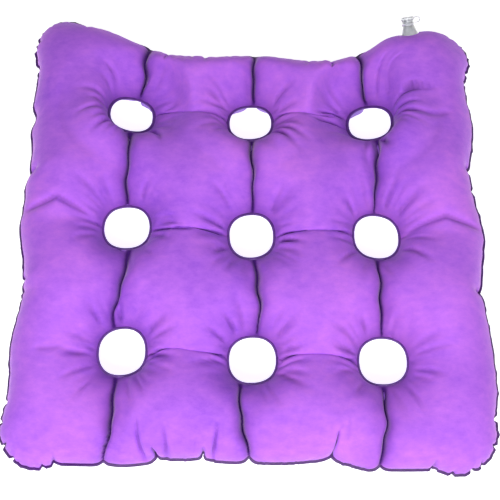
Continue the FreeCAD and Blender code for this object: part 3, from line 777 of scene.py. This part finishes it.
def lathe(name, profile, segments=64):
    """A closed profile of (radius, height) turned about the valve's axis."""
    profile = np.array(profile)
    turn = 2 * math.pi * np.arange(segments) / segments
    ring = np.stack([np.cos(turn), np.sin(turn)], 1)
    points = np.zeros((segments, len(profile), 3))
    points[:, :, :2] = ring[:, None] * profile[None, :, :1]
    points[:, :, 2] = profile[:, 1]
    return swept(name, valve_turned(points.reshape(-1, 3)).reshape(points.shape))


def strap_ribbon():
    """The strap's band: out from its collar, round half a circle and back over the plug."""
    bend_out, bend_up = STRAP_BEND
    turns = np.radians(np.linspace(-90, 90, 13))
    path = [(COLLAR_OUTER - STRAP_LAP, STRAP_LOW), (bend_out - STRAP_RUN, STRAP_LOW)]
    path += [(bend_out + STRAP_RADIUS * math.cos(t), bend_up + STRAP_RADIUS * math.sin(t)) for t in turns]
    path += [(bend_out - STRAP_RUN, STRAP_HIGH), (STRAP_END, STRAP_HIGH)]
    path = np.array(path)
    along = np.gradient(path, axis=0)
    along /= np.linalg.norm(along, axis=1)[:, None]
    profile = lens_profile(STRAP_WIDTH / 2, STRAP_THICK / 2)
    sections = np.zeros((len(path), len(profile), 3))
    sections[:, :, 0] = path[:, :1] - along[:, 1:] * profile[None, :, 1]
    sections[:, :, 1] = profile[None, :, 0]
    sections[:, :, 2] = path[:, 1:] + along[:, :1] * profile[None, :, 1]
    return swept("ribbon", valve_turned(sections.reshape(-1, 3)).reshape(sections.shape), closed_path=False)


def strap_collar():
    """The strap's ring round the stem."""
    middle = (COLLAR_INNER + COLLAR_OUTER) / 2
    oval = lens_profile((COLLAR_OUTER - COLLAR_INNER) / 2, COLLAR_DEPTH / 2, 16)
    return lathe("collar", [(middle + a, STRAP_LOW + b) for a, b in oval])


def joined(name, *objects):
    """Several objects as one."""
    points, faces, first = [], [], 0
    for o in objects:
        points += [v.co[:] for v in o.data.vertices]
        faces += [[first + v for v in p.vertices] for p in o.data.polygons]
        first = len(points)
        bpy.data.objects.remove(o)
    return mesh_object(name, points, faces)


# ---------------------------------------------------------------- materials


def new_material(name, colour, **values):
    """A Principled material, its node tree and its shader. Values name sockets, with _ for a space."""
    made = bpy.data.materials.new(name)
    made.use_nodes = True
    shader = made.node_tree.nodes["Principled BSDF"]
    shader.inputs["Base Color"].default_value = (*colour, 1)
    for key, value in values.items():
        shader.inputs[key.replace("_", " ")].default_value = value
    return made, made.node_tree, shader


def object_noise(tree, scale, detail=3, stretch=(1, 1, 1), roughness=0.55):
    place = tree.nodes.new("ShaderNodeTexCoord")
    mapping = tree.nodes.new("ShaderNodeMapping")
    mapping.inputs["Scale"].default_value = stretch
    noise = tree.nodes.new("ShaderNodeTexNoise")
    noise.inputs["Scale"].default_value = scale
    noise.inputs["Detail"].default_value = detail
    noise.inputs["Roughness"].default_value = roughness
    tree.links.new(place.outputs["Object"], mapping.inputs["Vector"])
    tree.links.new(mapping.outputs["Vector"], noise.inputs["Vector"])
    return noise


def ramp(tree, value, stops):
    """A colour ramp on value, through stops of (position, colour)."""
    made = tree.nodes.new("ShaderNodeValToRGB")
    for element, (position, colour) in zip(made.color_ramp.elements, (stops[0], stops[-1])):
        element.position, element.color = position, (*colour, 1)
    for position, colour in stops[1:-1]:
        made.color_ramp.elements.new(position).color = (*colour, 1)
    tree.links.new(value, made.inputs["Fac"])
    return made


def bumped(tree, shader, heights):
    """Adds one bump after another: (noise, strength, distance)."""
    normal = None
    for noise, strength, distance in heights:
        bump = tree.nodes.new("ShaderNodeBump")
        bump.inputs["Strength"].default_value = strength
        bump.inputs["Distance"].default_value = distance
        tree.links.new(noise.outputs["Fac"], bump.inputs["Height"])
        if normal:
            tree.links.new(normal, bump.inputs["Normal"])
        normal = bump.outputs["Normal"]
    tree.links.new(normal, shader.inputs["Normal"])


def flock_material():
    made, tree, shader = new_material("velvet_flock", FLOCK, Roughness=0.85, Specular_IOR_Level=0.2)
    shader.inputs["Sheen Weight"].default_value = 0.45
    shader.inputs["Sheen Roughness"].default_value = 0.35
    shader.inputs["Sheen Tint"].default_value = (1, 0.72, 1, 1)
    brushed = object_noise(tree, 11, 4, (1, 1, 1), 0.6)
    nap = object_noise(tree, 90, 6, (1, 1.8, 1), 0.75)
    mix = tree.nodes.new("ShaderNodeMix")
    mix.inputs["Factor"].default_value = 0.45
    tree.links.new(brushed.outputs["Fac"], mix.inputs["A"])
    tree.links.new(nap.outputs["Fac"], mix.inputs["B"])
    tones = ramp(tree, mix.outputs["Result"], [(0.36, FLOCK_DARK), (0.5, FLOCK), (0.64, FLOCK_LIGHT)])
    # Painted shade: the base colour is darkened towards the painted shade colour by how deep each point lies in
    # creases and folds, and how near a ring.
    painted_crease_shade = tree.nodes.new("ShaderNodeAttribute")
    painted_crease_shade.attribute_name = "painted_crease_shade"
    shade = tree.nodes.new("ShaderNodeMix")
    shade.data_type = "RGBA"
    tree.links.new(painted_crease_shade.outputs["Fac"], shade.inputs["Factor"])
    tree.links.new(tones.outputs["Color"], shade.inputs["A"])
    shade.inputs["B"].default_value = (*FLOCK_PAINTED_SHADE, 1)
    tree.links.new(shade.outputs["Result"], shader.inputs["Base Color"])
    pile = object_noise(tree, 2600, 2)
    ripple = object_noise(tree, 130, 4)
    bumped(tree, shader, [(ripple, 0.22, 0.002), (pile, 0.4, 0.0004)])
    return made


def film_material():
    made, tree, shader = new_material("satin_film", FILM, Roughness=0.42, Specular_IOR_Level=0.5)
    tones = ramp(tree, object_noise(tree, 25, 3).outputs["Fac"], [(0.3, FILM_DARK), (0.7, FILM)])
    tree.links.new(tones.outputs["Color"], shader.inputs["Base Color"])
    bumped(tree, shader, [(object_noise(tree, 300, 3), 0.15, 0.0006)])
    return made


def weld_material(name, colour, dark):
    made, tree, shader = new_material(name, colour, Roughness=0.38, Specular_IOR_Level=0.5)
    tones = ramp(tree, object_noise(tree, 150, 3).outputs["Fac"], [(0.35, dark), (0.7, colour)])
    tree.links.new(tones.outputs["Color"], shader.inputs["Base Color"])
    grain = tree.nodes.new("ShaderNodeTexVoronoi")
    grain.inputs["Scale"].default_value = 900
    bump = tree.nodes.new("ShaderNodeBump")
    bump.inputs["Strength"].default_value = 0.3
    bump.inputs["Distance"].default_value = 0.0003
    tree.links.new(grain.outputs["Distance"], bump.inputs["Height"])
    tree.links.new(bump.outputs["Normal"], shader.inputs["Normal"])
    return made


def clear_material():
    made, tree, shader = new_material("clear_vinyl", (0.9, 0.92, 0.95), Roughness=0.16, IOR=1.4)
    shader.inputs["Transmission Weight"].default_value = 0.72
    shader.inputs["Specular IOR Level"].default_value = 0.6
    haze = object_noise(tree, 400, 3).outputs["Fac"]
    cloud = ramp(tree, haze, [(0.3, (0.8, 0.82, 0.86)), (0.7, (0.95, 0.96, 0.98))])
    tree.links.new(cloud.outputs["Color"], shader.inputs["Base Color"])
    bumped(tree, shader, [(object_noise(tree, 500, 2), 0.1, 0.0004)])
    return made


def floor_material():
    made, tree, shader = new_material("pale_floor", (0.7, 0.7, 0.7), Roughness=0.9, Specular_IOR_Level=0.1)
    shader.inputs["Emission Color"].default_value = (1, 1, 1, 1)
    shader.inputs["Emission Strength"].default_value = 0.85
    return made


def dressed(piece, material, body=None):
    """The piece with its material and slot, riding the body if one is named."""
    piece.data.materials.clear()
    piece.data.materials.append(material)
    if body:
        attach(piece, body)
    return piece


# ---------------------------------------------------------------- the object

cloth, places = blown_up_cover()
places = ironed(cloth, fitted_to_frame(cloth, places))
places = bent(cloth, puckered(cloth, folded(cloth, places)))
places, bored = fitted_to_valve(cloth, places)

flock, film, vinyl = flock_material(), film_material(), clear_material()
weld, edge = weld_material("pressed_weld", WELD, WELD_DARK), weld_material("pressed_edge", EDGE, EDGE_DARK)
kept = (cloth["part"] == TOP) & ~bored[cloth["triangles"]].all(1)
upper = sheet_object("cover_top", cloth, places, kept)
lower = sheet_object("cover_bottom", cloth, places, cloth["part"] == BOTTOM)
for piece, node, material, slot_name in (
    (upper, "top_sheet", flock, "flocked_film"),
    (lower, "bottom_sheet", film, "plain_film"),
):
    dressed(piece, material, "cushion")
    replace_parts(piece, node)

lip = edge_lip("edge_lip", loop_points(cloth, places, 0), loop_points(cloth, places, RIM))
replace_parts(dressed(lip, edge, "cushion"), "edge_weld")
for number, node in enumerate(RING_NODES):
    ring = ring_lip(node.replace("hole_weld", "ring_lip"), loop_points(cloth, places, 1 + number))
    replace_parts(dressed(ring, weld, "cushion"), node)

sleeve = lathe("valve_sleeve", SLEEVE)
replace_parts(dressed(sleeve, vinyl, "cushion"), "valve_skirt")
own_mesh(sleeve)

strap = dressed(joined("strap_band", strap_ribbon(), strap_collar()), vinyl)
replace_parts(strap, "plug_strap")
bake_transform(strap)

for node in ("valve_flange", "valve_stem", "valve_check_flap", "valve_plug"):
    piece = frame["nodes"][node]
    piece.data.materials.clear()
    piece.data.materials.append(vinyl)
    piece.data.polygons.foreach_set("use_smooth", [True] * len(piece.data.polygons))
    bevel = piece.modifiers.new("edges", "BEVEL")
    bevel.width, bevel.segments = VALVE_ROUND, 2
    bevel.limit_method, bevel.angle_limit = "ANGLE", math.radians(35)
    weighted = piece.modifiers.new("shading", "WEIGHTED_NORMAL")
    weighted.keep_sharp = True

# ---------------------------------------------------------------- floor, light and camera

LOW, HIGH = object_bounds()
bpy.ops.mesh.primitive_plane_add(size=FLOOR_SIZE, location=(0, 0, LOW.z - FLOOR_GAP))
floor = bpy.context.object
floor.name = "floor"
floor.data.materials.append(floor_material())


def area_light(name, place, target, size, power):
    """A square lamp at place, turned to target."""
    made = bpy.data.lights.new(name, "AREA")
    made.energy, made.size = power, size
    lamp = bpy.data.objects.new(name, made)
    bpy.context.scene.collection.objects.link(lamp)
    lamp.location = place
    lamp.rotation_euler = (Vector(target) - Vector(place)).to_track_quat("-Z", "Y").to_euler()


area_light("key", (-0.12, -0.62, 0.82), (0, -0.1, 0), 0.55, 9)
area_light("fill", (1.2, -0.4, 1.1), (0, 0, 0), 1.0, 5)
area_light("back", (0.1, 1.3, 1.3), (0, 0, 0), 1.4, 2.5)

world = bpy.data.worlds.new("studio")
bpy.context.scene.world = world
world.use_nodes = True
world.node_tree.nodes["Background"].inputs["Color"].default_value = (1, 1, 1, 1)
world.node_tree.nodes["Background"].inputs["Strength"].default_value = 0.22

lens = bpy.data.cameras.new("camera")
lens.lens, lens.sensor_width = CAMERA_LENS, CAMERA_SENSOR
lens.clip_start, lens.clip_end = 0.05, 20
camera = bpy.data.objects.new("camera", lens)
bpy.context.scene.collection.objects.link(camera)
camera.location = CAMERA_PLACE
camera.rotation_mode = "XYZ"
camera.rotation_euler = [math.radians(angle) for angle in CAMERA_TURN]
bpy.context.scene.camera = camera
bpy.context.scene.view_settings.view_transform = "Standard"
